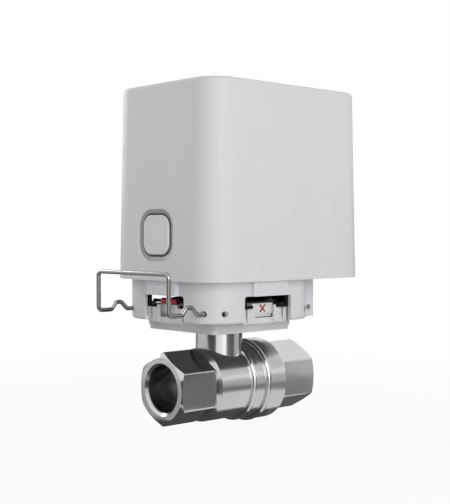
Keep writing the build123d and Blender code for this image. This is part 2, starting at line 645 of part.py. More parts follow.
def base_housing():
    half = BASE_HALF
    body = rounded_slab((-half, half), (-half, half), (BASE_LOW, BASE_TOP), BASE_CORNER)
    body = fillet(body.edges().group_by(Axis.Z)[0], BASE_FOOT_FILLET)
    annex_y = (-ANNEX_HALF, ANNEX_HALF)
    body += rounded_slab((ANNEX_START, ANNEX_REACH), annex_y, (ANNEX_LOW, BASE_TOP), ANNEX_CORNER)
    body += cover_inside(LOOSE_GAP, (BASE_TOP, FLOOR_TOP))
    brow = slab((-BROW_HALF, BROW_HALF), (0, BROW_REACH), (WINDOW_TOP, BASE_TOP))
    brow = fillet(brow.edges().filter_by(Axis.Z), BROW_FILLET)
    for turn in (0, 90, 180):
        body += Rot(0, 0, turn) * brow
    inner = BASE_HALF - BASE_WALL
    hollow = rounded_slab((-inner, inner), (-inner, inner), (BASE_LOW, BASE_TOP), BASE_CORNER - BASE_WALL)
    annex_hollow = rounded_slab(
        (BASE_HALF, ANNEX_REACH - BASE_WALL),
        (-ANNEX_HALF + BASE_WALL, ANNEX_HALF - BASE_WALL),
        (ANNEX_LOW, BASE_TOP - BASE_WALL),
        ANNEX_CORNER - BASE_WALL,
    )
    body -= hollow
    body -= annex_hollow
    window_y = (inner - LOOSE_GAP, BASE_HALF + OVERRUN)
    sides = (
        (0, (-WINDOW_WIDE_HALF, WINDOW_HALF)),
        (90, (-WINDOW_HALF, WINDOW_HALF)),
        (180, (-WINDOW_HALF, WINDOW_WIDE_HALF)),
    )
    for turn, window_x in sides:
        window = slab(window_x, window_y, (BASE_LOW, WINDOW_TOP))
        window = fillet(window.edges().filter_by(Axis.Y).group_by(Axis.Z)[-1], WINDOW_CORNER)
        body -= Rot(0, 0, turn) * window
    beyond = BASE_HALF + OVERRUN
    for side in (-CLIP_LEG, CLIP_LEG):
        body -= along_x(CLIP_HOLE_RADIUS, -beyond, -CLIP_LEG, side, CLIP_HEIGHT)
        body -= along_y(CLIP_HOLE_RADIUS, -beyond, beyond, side, CLIP_HEIGHT)
    body -= along_y(CLIP_HOLE_RADIUS, -beyond, beyond, ANNEX_HOLE_PLACE, CLIP_HEIGHT)
    for x, y in corners(CHASSIS_SCREW_PLACE, CHASSIS_SCREW_PLACE):
        body += upright(BOSS_RADIUS, CHASSIS_TOP, BASE_TOP, x, y)
        body -= upright(HOUSING_SCREW[0] + SEATING_GAP, CHASSIS_TOP - OVERRUN, BASE_TOP, x, y)
    for x, y in corners(TRAY_SCREW_PLACE, TRAY_SCREW_PLACE):
        body -= upright(HOUSING_SCREW[0] + SEATING_GAP, BASE_TOP, FLOOR_TOP, x, y)
    for y in (-COVER_BOSS_Y, COVER_BOSS_Y):
        body += upright(COVER_PILLAR_RADIUS, FLOOR_TOP, COVER_PILLAR_TOP, COVER_BOSS_X, y)
        body -= upright(COVER_SCREW[0] + SEATING_GAP, BASE_TOP, COVER_PILLAR_TOP, COVER_BOSS_X, y)
        body -= upright(COVER_SCREW[1] + SEATING_GAP, BASE_TOP, COVER_SCREW_SEAT, COVER_BOSS_X, y)
    body -= upright(BUSH_RADIUS + SEATING_GAP, BASE_TOP, FLOOR_TOP)
    board_back = BUTTON_BOARD_FACE + BUTTON_BOARD_THICKNESS
    rail_x = (board_back, board_back + RAIL_DEPTH)
    for side in (-RAIL_OFFSET, RAIL_OFFSET):
        rail_y = (BUTTON_Y + side - RAIL_WIDTH / 2, BUTTON_Y + side + RAIL_WIDTH / 2)
        body += slab(rail_x, rail_y, (FLOOR_TOP, BUTTON_BOARD_TOP))
    groove = cover_inside(-OVERRUN, (GROOVE_LOW, GROOVE_HIGH))
    groove -= cover_inside(LOOSE_GAP + GROOVE_DEPTH, (GROOVE_LOW, GROOVE_HIGH))
    parts["base_housing"] = body - groove
    gasket = cover_inside(RUNNING_GAP, (GROOVE_LOW, GROOVE_HIGH))
    gasket -= cover_inside(LOOSE_GAP + GROOVE_DEPTH, (GROOVE_LOW, GROOVE_HIGH))
    parts["cover_gasket"] = gasket


def drafted_block(inset, low, high, corner):
    """A tapering block with the cover's outline, drawn in by inset all round."""
    width = COVER_FRONT - COVER_BACK - 2 * inset
    depth = 2 * (COVER_HALF - inset)
    outline = Pos((COVER_BACK + COVER_FRONT) / 2, 0, low) * RectangleRounded(width, depth, corner)
    return extrude(outline, amount=high - low, taper=COVER_TAPER)


def squircle_plug(size, near, far, taper=0):
    """A rounded-square block along X at the button's place, narrowing inwards by its taper."""
    outline = RectangleRounded(size, size, BUTTON_CORNER + (size - BUTTON_SIZE) / 2)
    plane = Plane(origin=(near, BUTTON_Y, BUTTON_Z), x_dir=(0, 1, 0), z_dir=(1, 0, 0))
    return extrude(plane * outline, amount=far - near, taper=taper)


def cover():
    body = drafted_block(0, BASE_TOP, COVER_TOP, COVER_CORNER)
    body = fillet(body.edges().group_by(Axis.Z)[-1], COVER_TOP_FILLET)
    body -= drafted_block(COVER_WALL, BASE_TOP, COVER_TOP - COVER_WALL, COVER_CORNER - COVER_WALL)
    pilot_top = COVER_SCREW_SEAT + COVER_SCREW_LENGTH
    web_x = (COVER_BOSS_X - COVER_WEB / 2, COVER_BOSS_X + COVER_WEB / 2)
    for side in (-1, 1):
        y = side * COVER_BOSS_Y
        web_y = sorted((y, side * (COVER_HALF - COVER_WALL / 2 - COVER_DRAFT)))
        body += upright(COVER_BOSS_RADIUS, COVER_PILLAR_TOP, COVER_BOSS_TOP, COVER_BOSS_X, y)
        body += slab(web_x, web_y, (COVER_PILLAR_TOP, COVER_BOSS_TOP))
        body -= upright(COVER_SCREW[0] + SEATING_GAP, COVER_PILLAR_TOP, pilot_top, COVER_BOSS_X, y)
    bezel_hole = BEZEL_SIZE + 2 * RUNNING_GAP
    outside = COVER_BACK - OVERRUN
    body -= squircle_plug(bezel_hole, outside, BUTTON_WALL_X + COVER_WALL + OVERRUN)
    body -= squircle_plug(DISH_SIZE, outside, BUTTON_WALL_X + DISH_DEPTH)
    parts["cover"] = body
    fixings = []
    for y in (-COVER_BOSS_Y, COVER_BOSS_Y):
        seat = Pos(COVER_BOSS_X, y, COVER_SCREW_SEAT) * Rot(180, 0, 0)
        fixings.append(seat * screw(COVER_SCREW, COVER_SCREW_LENGTH))
    parts["cover_screws"] = fixings


def button():
    bezel_near = BUTTON_WALL_X + DISH_DEPTH
    bezel_far = BUTTON_WALL_X + COVER_WALL
    membrane_hole = MEMBRANE_SIZE + 2 * SEATING_GAP
    bezel = squircle_plug(BEZEL_SIZE, bezel_near, bezel_far)
    bezel -= squircle_plug(membrane_hole, bezel_near, bezel_far)
    slope_angle = degrees(atan2(BEZEL_SLOPE, BEZEL_SLOPE_DEPTH))
    slope_far = bezel_near + BEZEL_SLOPE_DEPTH
    bezel -= squircle_plug(membrane_hole + 2 * BEZEL_SLOPE, bezel_near, slope_far, slope_angle)
    parts["button_bezel"] = bezel
    membrane_near = BUTTON_WALL_X + MEMBRANE_SUNK
    membrane_far = membrane_near + MEMBRANE_THICKNESS
    membrane = squircle_plug(MEMBRANE_SIZE, membrane_near, membrane_far)
    membrane -= squircle_plug(BUTTON_SIZE + 2 * RUNNING_GAP, membrane_near, membrane_far)
    parts["button_membrane"] = membrane
    cap = squircle_plug(BUTTON_SIZE, BUTTON_FACE, BUTTON_BACK)
    cap = fillet(cap.edges().group_by(Axis.X)[0], BUTTON_EDGE_FILLET)
    cap -= squircle_plug(BUTTON_SIZE - 2 * BUTTON_RIM, BUTTON_FACE, BUTTON_FACE + BUTTON_DISH)
    cap += along_x(BUTTON_STEM_RADIUS, BUTTON_BACK, PLUNGER_TIP - SEATING_GAP, BUTTON_Y, BUTTON_Z)
    parts["function_button"] = cap


def button_board():
    y = (BUTTON_Y - BUTTON_BOARD_HALF, BUTTON_Y + BUTTON_BOARD_HALF)
    x = (BUTTON_BOARD_FACE, BUTTON_BOARD_FACE + BUTTON_BOARD_THICKNESS)
    parts["button_board"] = slab(x, y, (FLOOR_TOP, BUTTON_BOARD_TOP))
    half_y = TACT_SIZE[1] / 2
    half_z = TACT_SIZE[2] / 2
    case = slab(
        (TACT_FACE, BUTTON_BOARD_FACE),
        (BUTTON_Y - half_y, BUTTON_Y + half_y),
        (BUTTON_Z - half_z, BUTTON_Z + half_z),
    )
    bore_end = PLUNGER_TIP + PLUNGER_LENGTH + BUTTON_TRAVEL + BUTTON_RETURN_GAP
    case -= along_x(PLUNGER_RADIUS + RUNNING_GAP, TACT_FACE - OVERRUN, bore_end, BUTTON_Y, BUTTON_Z)
    parts["tact_switch"] = case
    plunger_end = PLUNGER_TIP + PLUNGER_LENGTH
    parts["switch_plunger"] = along_x(PLUNGER_RADIUS, PLUNGER_TIP, plunger_end, BUTTON_Y, BUTTON_Z)


def chassis():
    half = CHASSIS_HALF
    body = rounded_slab((-half, half), (-half, half), (CHASSIS_LOW, CHASSIS_TOP), BASE_CORNER - BASE_WALL)
    body += upright(BEARING_BOSS_RADIUS, BEARING_BOSS_LOW, CHASSIS_LOW)
    for side in (-1, 1):
        foot_x = sorted((side * FOOT_INNER, side * BLOCK_OUTER))
        block_x = sorted((side * BLOCK_INNER, side * BLOCK_OUTER))
        wall_y = (FOOT_BACK, CHASSIS_HALF)
        foot = slab(foot_x, wall_y, (FOOT_LOW, FOOT_TOP))
        block = slab(block_x, wall_y, (FOOT_LOW, CHASSIS_LOW))
        for turned in four_ways(foot + block)[1:]:
            body += turned
    body += slab((BLIND_INNER, CHASSIS_HALF), (-BLOCK_OUTER, BLOCK_OUTER), (BLIND_LOW, CHASSIS_LOW))
    body -= upright(BUSH_RADIUS + SEATING_GAP, BUSH_LOW, CHASSIS_TOP + OVERRUN)
    body -= upright(OUTPUT_RADIUS + LOOSE_GAP, BEARING_BOSS_LOW - OVERRUN, BUSH_LOW)
    for x, y in corners(CHASSIS_SCREW_PLACE, CHASSIS_SCREW_PLACE):
        body -= upright(HOUSING_SCREW[0] + SEATING_GAP, CHASSIS_LOW, CHASSIS_TOP + OVERRUN, x, y)
        body -= upright(HOUSING_SCREW[1] + SEATING_GAP, CHASSIS_LOW - OVERRUN, CHASSIS_SCREW_SEAT, x, y)
    parts["chassis"] = body


def housing_screws():
    """The screws that hold the chassis and the gearbox to the base housing, heads down."""
    fixings = []
    for place, seat in ((CHASSIS_SCREW_PLACE, CHASSIS_SCREW_SEAT), (TRAY_SCREW_PLACE, BASE_TOP)):
        for x, y in corners(place, place):
            turned = Pos(x, y, seat) * Rot(180, 0, 0)
            fixings.append(turned * screw(HOUSING_SCREW, HOUSING_SCREW_LENGTH))
    parts["housing_screws"] = fixings


def involute_gear(module, teeth, low, high, phase):
    """A spur gear with a tooth centred on the phase angle, in degrees."""
    pitch = module * teeth / 2
    base = pitch * cos(radians(PRESSURE_ANGLE))
    tip = pitch + module
    root = pitch - ROOT_SHARE * module
    half_tooth = pi / (2 * teeth) - BACKLASH / (2 * pitch)
    involute_at_pitch = sqrt(pitch**2 - base**2) / base - radians(PRESSURE_ANGLE)

    def flank_angle(radius):
        roll = sqrt(max(radius**2 - base**2, 0)) / base
        return half_tooth + involute_at_pitch - (roll - atan(roll))

    start = max(base, root)
    flank = [root] if root < base else []
    flank += [start, (start + tip) / 2, tip]
    points = []
    for tooth in range(teeth):
        middle = radians(phase) + 2 * pi * tooth / teeth
        rising = [(radius, middle - flank_angle(radius)) for radius in flank]
        falling = [(radius, middle + flank_angle(radius)) for radius in reversed(flank)]
        points += [(radius * cos(angle), radius * sin(angle)) for radius, angle in rising + falling]
    outline = make_face(Polyline(*points, close=True))
    return extrude(Pos(0, 0, low) * outline, amount=high - low)


def step_away(place, teeth_and_module, angle):
    """The axis that meshes with the gear at place, on a line at this angle."""
    own, mate, module = teeth_and_module
    distance = module * (own + mate) / 2
    return (place[0] + distance * cos(radians(angle)), place[1] + distance * sin(radians(angle)))


SECOND_AXIS = step_away((0, 0), (OUTPUT_TEETH, PINION_TEETH, LARGE_MODULE), SECOND_ANGLE)
FIRST_AXIS = step_away(SECOND_AXIS, (SECOND_TEETH, PINION_TEETH, MIDDLE_MODULE), FIRST_ANGLE)
MOTOR_AXIS = step_away(FIRST_AXIS, (FIRST_TEETH, PINION_TEETH, SMALL_MODULE), MOTOR_ANGLE)


def facing_gap(angle):
    """The phase of a pinion whose gap faces back along a line of centres."""
    return angle + 180 + 180 / PINION_TEETH


def output_train():
    half = OUTPUT_SQUARE / 2
    shaft = slab((-half, half), (-half, half), (SOCKET_STEP + RUNNING_GAP, OUTPUT_SHOULDER))
    shaft += upright(OUTPUT_RADIUS, OUTPUT_SHOULDER, OUTPUT_STEP)
    shaft += upright(OUTPUT_JOURNAL, OUTPUT_STEP, CASE_TOP)
    parts["output_shaft"] = shaft
    bush = upright(BUSH_RADIUS, BUSH_LOW, BUSH_TOP)
    parts["output_bush"] = bush - upright(OUTPUT_RADIUS + RUNNING_GAP, BUSH_LOW, BUSH_TOP)
    cam = upright(CAM_RADIUS, CAM_LOW, CAM_TOP)
    cam += upright(CAM_NOSE_RADIUS, CAM_LOW, CAM_TOP, 0, CAM_RADIUS - CAM_NOSE_RADIUS + CAM_NOSE)
    parts["switch_cam"] = cam - upright(OUTPUT_RADIUS + SEATING_GAP, CAM_LOW, CAM_TOP)
    gear = involute_gear(LARGE_MODULE, OUTPUT_TEETH, OUTPUT_GEAR_LOW, OUTPUT_GEAR_TOP, SECOND_ANGLE)
    gear -= upright(OUTPUT_RADIUS + SEATING_GAP, OUTPUT_GEAR_LOW, OUTPUT_GEAR_TOP)
    for index in range(LIGHTENING_COUNT):
        turn = Rot(0, 0, 360 * index / LIGHTENING_COUNT)
        gear -= turn * upright(LIGHTENING_RADIUS, OUTPUT_GEAR_LOW, OUTPUT_GEAR_TOP, LIGHTENING_CIRCLE)
    parts["output_gear"] = gear


def compound_gear(axis, pinion, wheel, hub):
    """A pinion and a wheel in one moulding, running on a fixed pin."""
    body = involute_gear(*pinion) + involute_gear(*wheel) + upright(HUB_RADIUS, *hub)
    body -= upright(PIN_RADIUS + RUNNING_GAP, hub[0], hub[1])
    return Pos(*axis) * body


def idler_gears():
    low = PIN_SOCKET_TOP + LOOSE_GAP
    top = TRAY_TOP - LOOSE_GAP
    parts["second_gear"] = compound_gear(
        SECOND_AXIS,
        (LARGE_MODULE, PINION_TEETH, OUTPUT_GEAR_LOW - LOOSE_GAP, SECOND_WHEEL_LOW, facing_gap(SECOND_ANGLE)),
        (MIDDLE_MODULE, SECOND_TEETH, SECOND_WHEEL_LOW, SECOND_WHEEL_TOP, FIRST_ANGLE),
        (low, top),
    )
    parts["first_gear"] = compound_gear(
        FIRST_AXIS,
        (MIDDLE_MODULE, PINION_TEETH, SECOND_WHEEL_LOW - LOOSE_GAP, FIRST_WHEEL_LOW, facing_gap(FIRST_ANGLE)),
        (SMALL_MODULE, FIRST_TEETH, FIRST_WHEEL_LOW, FIRST_WHEEL_TOP, MOTOR_ANGLE),
        (low, top),
    )
    pins = []
    for x, y in (SECOND_AXIS, FIRST_AXIS):
        pins.append(upright(PIN_RADIUS, TRAY_INNER_FLOOR, CASE_TOP, x, y))
    parts["gear_pins"] = pins


def gearbox_case():
    x = (TRAY_BACK, TRAY_FRONT)
    y = (-TRAY_HALF, TRAY_HALF)
    tray = rounded_slab(x, y, (FLOOR_TOP, TRAY_TOP), TRAY_CORNER)
    inner_x = (TRAY_BACK + TRAY_WALL, TRAY_FRONT - TRAY_WALL)
    inner_y = (-TRAY_HALF + TRAY_WALL, TRAY_HALF - TRAY_WALL)
    tray -= rounded_slab(inner_x, inner_y, (TRAY_INNER_FLOOR, TRAY_TOP), TRAY_CORNER - TRAY_WALL)
    lid = rounded_slab(x, y, (TRAY_TOP, CASE_TOP), TRAY_CORNER)
    fixings = []
    for px in (TRAY_BACK + TRAY_COLUMN, TRAY_FRONT - TRAY_COLUMN):
        for py in (-TRAY_HALF + TRAY_COLUMN, TRAY_HALF - TRAY_COLUMN):
            tray += upright(TRAY_COLUMN, TRAY_INNER_FLOOR, TRAY_TOP, px, py)
            tray -= upright(GEARBOX_SCREW[0] + SEATING_GAP, CASE_TOP - GEARBOX_SCREW_LENGTH, TRAY_TOP, px, py)
            lid -= upright(GEARBOX_SCREW[0] + SEATING_GAP, TRAY_TOP, CASE_TOP, px, py)
            fixings.append(Pos(px, py, CASE_TOP) * screw(GEARBOX_SCREW, GEARBOX_SCREW_LENGTH))
    for px, py in (SECOND_AXIS, FIRST_AXIS):
        tray += upright(HUB_RADIUS, TRAY_INNER_FLOOR, PIN_SOCKET_TOP, px, py)
        tray -= upright(PIN_RADIUS + SEATING_GAP, TRAY_INNER_FLOOR, TRAY_TOP, px, py)
        lid -= upright(PIN_RADIUS + SEATING_GAP, TRAY_TOP, CASE_TOP, px, py)
    for px, py in corners(TRAY_SCREW_PLACE, TRAY_SCREW_PLACE):
        tray += upright(BOSS_RADIUS, TRAY_INNER_FLOOR, TRAY_BOSS_TOP, px, py)
        tray -= upright(HOUSING_SCREW[0] + SEATING_GAP, FLOOR_TOP, BASE_TOP + HOUSING_SCREW_LENGTH, px, py)
    tray -= upright(OUTPUT_RADIUS + LOOSE_GAP, FLOOR_TOP, TRAY_INNER_FLOOR)
    lid -= upright(OUTPUT_JOURNAL + RUNNING_GAP, TRAY_TOP, CASE_TOP)
    lid -= upright(MOTOR_BOSS_RADIUS + SEATING_GAP, TRAY_TOP, CASE_TOP, *MOTOR_AXIS)
    for px in (BOARD_BACK + BOARD_POST_INSET, BOARD_FRONT - BOARD_POST_INSET):
        post_x = (px - BOARD_POST / 2, px + BOARD_POST / 2)
        lid += slab(post_x, (TRAY_HALF - BOARD_POST, BOARD_Y), (TRAY_TOP, BOARD_TOP))
        pilot_end = BOARD_Y + BOARD_THICKNESS - BOARD_SCREW_LENGTH
        for pz in board_screw_heights():
            lid -= along_y(BOARD_SCREW[0] + SEATING_GAP, pilot_end, BOARD_Y, px, pz)
    parts["gearbox_tray"] = tray
    parts["gearbox_lid"] = lid
    parts["gearbox_screws"] = fixings


def board_screw_heights():
    return (BOARD_LOW + BOARD_SCREW_INSET, BOARD_TOP - BOARD_SCREW_INSET)


def limit_switches():
    """Two lever switches that feel the cam's nose at the closed and open ends."""
    length, depth, height = SWITCH_SIZE
    lever_length, lever_thickness, lever_height = SWITCH_LEVER
    lever_z = (TRAY_INNER_FLOOR + LOOSE_GAP, TRAY_INNER_FLOOR + LOOSE_GAP + lever_height)
    lever_y = (SWITCH_PLACE - 2 * lever_thickness, SWITCH_PLACE - lever_thickness)
    case_y = (SWITCH_PLACE, SWITCH_PLACE + depth)
    case = slab((-length / 2, length / 2), case_y, (TRAY_INNER_FLOOR, TRAY_INNER_FLOOR + height))
    lever = slab((-lever_length / 2, lever_length / 2), lever_y, lever_z)
    root_x = (lever_length / 2 - lever_thickness, lever_length / 2)
    root = slab(root_x, (SWITCH_PLACE - lever_thickness, SWITCH_PLACE), lever_z)
    switches = [Rot(0, 0, turn) * (case + lever + root) for turn in (0, 90)]
    parts["limit_switches"] = switches


def motor():
    x, y = MOTOR_AXIS
    can_top = MOTOR_TOP - END_BELL_HEIGHT
    can = upright(MOTOR_RADIUS, CASE_TOP, can_top)
    can = fillet(can.edges().group_by(Axis.Z)[0], MOTOR_FILLET)
    can += upright(MOTOR_BOSS_RADIUS, TRAY_TOP, CASE_TOP)
    can -= upright(MOTOR_SHAFT_RADIUS + RUNNING_GAP, TRAY_TOP, can_top)
    parts["motor_can"] = Pos(x, y) * can
    parts["motor_end_bell"] = upright(END_BELL_RADIUS, can_top, MOTOR_TOP, x, y)
    pinion_low = FIRST_WHEEL_LOW - LOOSE_GAP
    shaft = upright(MOTOR_SHAFT_RADIUS, pinion_low, can_top - LOOSE_GAP, x, y)
    parts["motor_shaft"] = shaft
    pinion = involute_gear(SMALL_MODULE, PINION_TEETH, pinion_low, MOTOR_PINION_TOP, facing_gap(MOTOR_ANGLE))
    pinion -= upright(MOTOR_SHAFT_RADIUS + SEATING_GAP, pinion_low, MOTOR_PINION_TOP)
    parts["motor_pinion"] = Pos(x, y) * pinion
    width, thickness, height = TERMINAL_SIZE
    tags = []
    for side in (-1, 1):
        tag_y = y + side * TERMINAL_PLACE
        tag = Pos(x, tag_y, MOTOR_TOP + height / 2) * Box(width, thickness, height)
        tags.append(tag)
    parts["motor_terminals"] = tags


def battery_pack():
    low_x = CELL_PLACES[0] - CELL_RADIUS - HOLDER_MARGIN
    high_x = CELL_PLACES[-1] + CELL_RADIUS + HOLDER_MARGIN
    y = (CELL_ROW_Y - CELL_RADIUS - HOLDER_MARGIN, CELL_ROW_Y + CELL_RADIUS + HOLDER_MARGIN)
    floor_top = HOLDER_LOW + HOLDER_FLOOR
    holder = rounded_slab((low_x, high_x), y, (HOLDER_LOW, floor_top + HOLDER_SIDE_HEIGHT), HOLDER_CORNER)
    contacts = []
    cells = []
    for x in CELL_PLACES:
        holder -= upright(CELL_RADIUS + LOOSE_GAP, floor_top, floor_top + HOLDER_SIDE_HEIGHT, x, CELL_ROW_Y)
        cell = upright(CELL_RADIUS, CELL_LOW, CELL_LOW + CELL_HEIGHT)
        cell = fillet(cell.edges().filter_by(GeomType.CIRCLE), CELL_CAP_HEIGHT)
        cell += upright(CELL_CAP_RADIUS, CELL_LOW + CELL_HEIGHT, CELL_TOP)
        cells.append(Pos(x, CELL_ROW_Y) * cell)
        contacts.append(upright(CONTACT_WIDTH / 2, floor_top, CELL_LOW, x, CELL_ROW_Y))
    for x, leg_y in HOLDER_LEGS:
        holder += upright(HOLDER_LEG_RADIUS, CASE_TOP, HOLDER_LOW, x, leg_y)
    strap_low = CELL_TOP + CONTACT_THICKNESS
    for post_x in ((low_x, low_x + HOLDER_MARGIN / 2), (high_x - HOLDER_MARGIN / 2, high_x)):
        post_y = (CELL_ROW_Y - STRAP_POST, CELL_ROW_Y + STRAP_POST)
        holder += slab(post_x, post_y, (HOLDER_LOW, strap_low))
    parts["battery_holder"] = holder
    parts["batteries"] = cells
    half_width = CONTACT_WIDTH / 2
    strap_y = (CELL_ROW_Y - half_width, CELL_ROW_Y + half_width)
    for first in range(0, CELL_COUNT, 2):
        link_x = (CELL_PLACES[first] - half_width, CELL_PLACES[first + 1] + half_width)
        contacts.append(slab(link_x, strap_y, (CELL_TOP, strap_low)))
    parts["battery_contacts"] = contacts
    parts["battery_strap"] = slab((low_x, high_x), strap_y, (strap_low, strap_low + STRAP_THICKNESS))


def on_board(size, place):
    """A block on the main board's inner face, centred on a place along it."""
    width, depth, height = size
    x, z = place
    return slab((x - width / 2, x + width / 2), (BOARD_Y - depth, BOARD_Y), (z - height / 2, z + height / 2))


def main_board():
    board = slab((BOARD_BACK, BOARD_FRONT), (BOARD_Y, BOARD_Y + BOARD_THICKNESS), (BOARD_LOW, BOARD_TOP))
    fixings = []
    for x in (BOARD_BACK + BOARD_POST_INSET, BOARD_FRONT - BOARD_POST_INSET):
        for z in board_screw_heights():
            board -= along_y(BOARD_SCREW[0] + SEATING_GAP, BOARD_Y, BOARD_Y + BOARD_THICKNESS, x, z)
            head_seat = BOARD_Y + BOARD_THICKNESS
            fixings.append(Pos(x, head_seat, z) * Rot(-90, 0, 0) * screw(BOARD_SCREW, BOARD_SCREW_LENGTH))
    parts["main_board"] = board
    parts["board_screws"] = fixings
    parts["radio_module"] = on_board(RADIO_SIZE, RADIO_PLACE)
    parts["motor_driver"] = on_board(DRIVER_SIZE, DRIVER_PLACE)
    parts["board_sockets"] = [on_board(SOCKET_SIZE, place) for place in SOCKET_PLACES]
    capacitors = []
    for x, z in CAPACITOR_PLACES:
        capacitors.append(along_y(CAPACITOR_RADIUS, BOARD_Y - CAPACITOR_LENGTH, BOARD_Y, x, z))
    parts["capacitors"] = capacitors
    antenna_x = RADIO_PLACE[0]
    root_z = RADIO_PLACE[1] + RADIO_SIZE[2] / 2 + ANTENNA_RISE
    inner = BOARD_Y - ANTENNA_LIFT
    half = ANTENNA_WIDTH / 2
    top = root_z + ANTENNA_RISE
    points = [
        (antenna_x - half, BOARD_Y, root_z),
        (antenna_x - half, inner, root_z),
        (antenna_x - half, inner, top),
        (antenna_x + half, inner, top),
        (antenna_x + half, inner, root_z),
    ]
    parts["antenna"] = bent_rod(points, ANTENNA_RADIUS, ANTENNA_BEND)


def bent_rod(points, radius, bend):
    """A round rod along straight runs joined by arcs."""
    path = FilletPolyline(*points, radius=bend)
    section = Plane(origin=path @ 0, z_dir=path % 0) * Circle(radius)
    return sweep(section, path=path)


def leads():
    """Leads from the motor, the batteries and the button board to the main board."""
    x, y = MOTOR_AXIS
    motor_socket = SOCKET_PLACES[0]
    battery_socket = SOCKET_PLACES[1]
    button_socket = SOCKET_PLACES[2]
    socket_face = BOARD_Y - SOCKET_SIZE[1]
    loop_top = MOTOR_TOP + 2 * TERMINAL_SIZE[2] + LEAD_BEND
    motor_leads = []
    battery_leads = []
    button_leads = []
    strap_top = CELL_TOP + CONTACT_THICKNESS + STRAP_THICKNESS
    for side in (-1, 1):
        spread = side * LEAD_SPREAD
        tag_y = y + side * TERMINAL_PLACE
        points = [
            (x, tag_y, MOTOR_TOP + TERMINAL_SIZE[2]),
            (x, tag_y, loop_top + spread),
            (motor_socket[0] + spread / 2, socket_face - 2 * LEAD_BEND, loop_top + spread),
            (motor_socket[0] + spread / 2, socket_face - 2 * LEAD_BEND, motor_socket[1]),
            (motor_socket[0] + spread / 2, socket_face, motor_socket[1]),
        ]
        motor_leads.append(bent_rod(points, LEAD_RADIUS, LEAD_BEND))
        strap_y = CELL_ROW_Y + CONTACT_WIDTH / 2 - LEAD_SPREAD
        points = [
            (battery_socket[0] + spread, strap_y, strap_top),
            (battery_socket[0] + spread, strap_y, strap_top + LEAD_SPREAD),
            (battery_socket[0] + spread, 0, strap_top + LEAD_SPREAD),
            (battery_socket[0] + spread / 2, 0, battery_socket[1]),
            (battery_socket[0] + spread / 2, socket_face, battery_socket[1]),
        ]
        battery_leads.append(bent_rod(points, LEAD_RADIUS, LEAD_SPREAD - RUNNING_GAP))
        board_x = BUTTON_BOARD_FACE + BUTTON_BOARD_THICKNESS
        root_y = BUTTON_Y + spread
        points = [
            (board_x, root_y, button_socket[1]),
            (button_socket[0] + spread / 2, root_y, button_socket[1]),
            (button_socket[0] + spread / 2, socket_face, button_socket[1]),
        ]
        button_leads.append(bent_rod(points, LEAD_RADIUS, LEAD_BEND))
    parts["motor_leads"] = motor_leads
    parts["battery_leads"] = battery_leads
    parts["button_leads"] = button_leads


def wire_clip():
    points = []
    for side in (-1, 1):
        leg = [
            (CLIP_TIP, CLIP_HEIGHT),
            (CLIP_BUMP_START, CLIP_HEIGHT),
            (CLIP_BUMP_HIGH_START, CLIP_BUMP_TOP),
            (CLIP_BUMP_HIGH_END, CLIP_BUMP_TOP),
            (CLIP_BUMP_END, CLIP_HEIGHT),
            (CLIP_END, CLIP_HEIGHT),
            (CLIP_END, CLIP_BAR_HEIGHT),
        ]
        placed = [(x, side * CLIP_LEG, z) for x, z in leg]
        points += placed if side < 0 else placed[::-1]
    parts["wire_clip"] = bent_rod(points, WIRE_RADIUS, CLIP_BEND)


def write_parts():
    os.makedirs("parts", exist_ok=True)
    place = Pos(INLET_REACH - MOUTH_SINK, 0, 0)
    for name, shape in parts.items():
        solids = shape if isinstance(shape, list) else [shape]
        placed = [place * solid for solid in solids]
        whole = placed[0] if len(placed) == 1 else Compound(children=placed)
        export_step(whole, f"parts/{name}.step")


valve_body()
valve_end_piece()
ball_and_seats()
stem()
adapter()
dial()
pointer()
base_housing()
cover()
button()
button_board()
chassis()
housing_screws()
output_train()
idler_gears()
gearbox_case()
limit_switches()
motor()
battery_pack()
main_board()
leads()
wire_clip()
write_parts()
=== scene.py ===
import json
from math import cos, pi, radians, sin

import bpy
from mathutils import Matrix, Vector


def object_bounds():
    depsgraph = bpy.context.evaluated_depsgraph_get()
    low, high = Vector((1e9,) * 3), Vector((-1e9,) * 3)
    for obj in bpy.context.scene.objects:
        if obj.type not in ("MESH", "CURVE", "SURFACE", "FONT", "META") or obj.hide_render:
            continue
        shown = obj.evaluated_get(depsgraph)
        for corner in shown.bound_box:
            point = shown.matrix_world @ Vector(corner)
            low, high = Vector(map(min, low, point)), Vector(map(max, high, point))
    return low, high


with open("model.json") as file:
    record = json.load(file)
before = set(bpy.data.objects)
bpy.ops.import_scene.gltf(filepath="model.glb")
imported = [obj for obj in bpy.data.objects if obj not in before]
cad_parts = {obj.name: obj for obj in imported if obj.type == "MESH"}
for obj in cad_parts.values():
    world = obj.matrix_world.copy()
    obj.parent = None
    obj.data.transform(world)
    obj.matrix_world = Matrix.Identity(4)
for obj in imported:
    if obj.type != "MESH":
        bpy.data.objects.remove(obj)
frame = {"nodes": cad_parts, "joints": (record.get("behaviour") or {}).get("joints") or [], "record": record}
cad_low, cad_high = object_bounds()

MM = 0.001
EASE = 0.2 * MM
NODES = frame["nodes"]
STEM_PLACE = next(joint["pos_m"][0] for joint in frame["joints"] if joint["child"] == "valve_stem")
SLOT_OF = {part["node"]: part["material_slot"] for part in frame["record"]["subparts"]}

# Camera, in the part's frame
CAMERA_PLACE = (-0.25383, -0.31408, 0.06251)
CAMERA_YAW = radians(42.42)
CAMERA_PITCH = radians(1.12)
CAMERA_LENS = 72.69
CAMERA_NEAR_CLIP = 0.01

# Studio
FLOOR_SIZE = 8.0
FLOOR_COLOUR = (0.72, 0.72, 0.72, 1)
FLOOR_ROUGHNESS = 0.9
FLOOR_SPECULAR_LEVEL = 0.1
FLOOR_WHITE_SHARE = 0.94
SHADOW_START = 0.10
SHADOW_END = 0.32
AMBIENT = 0.41
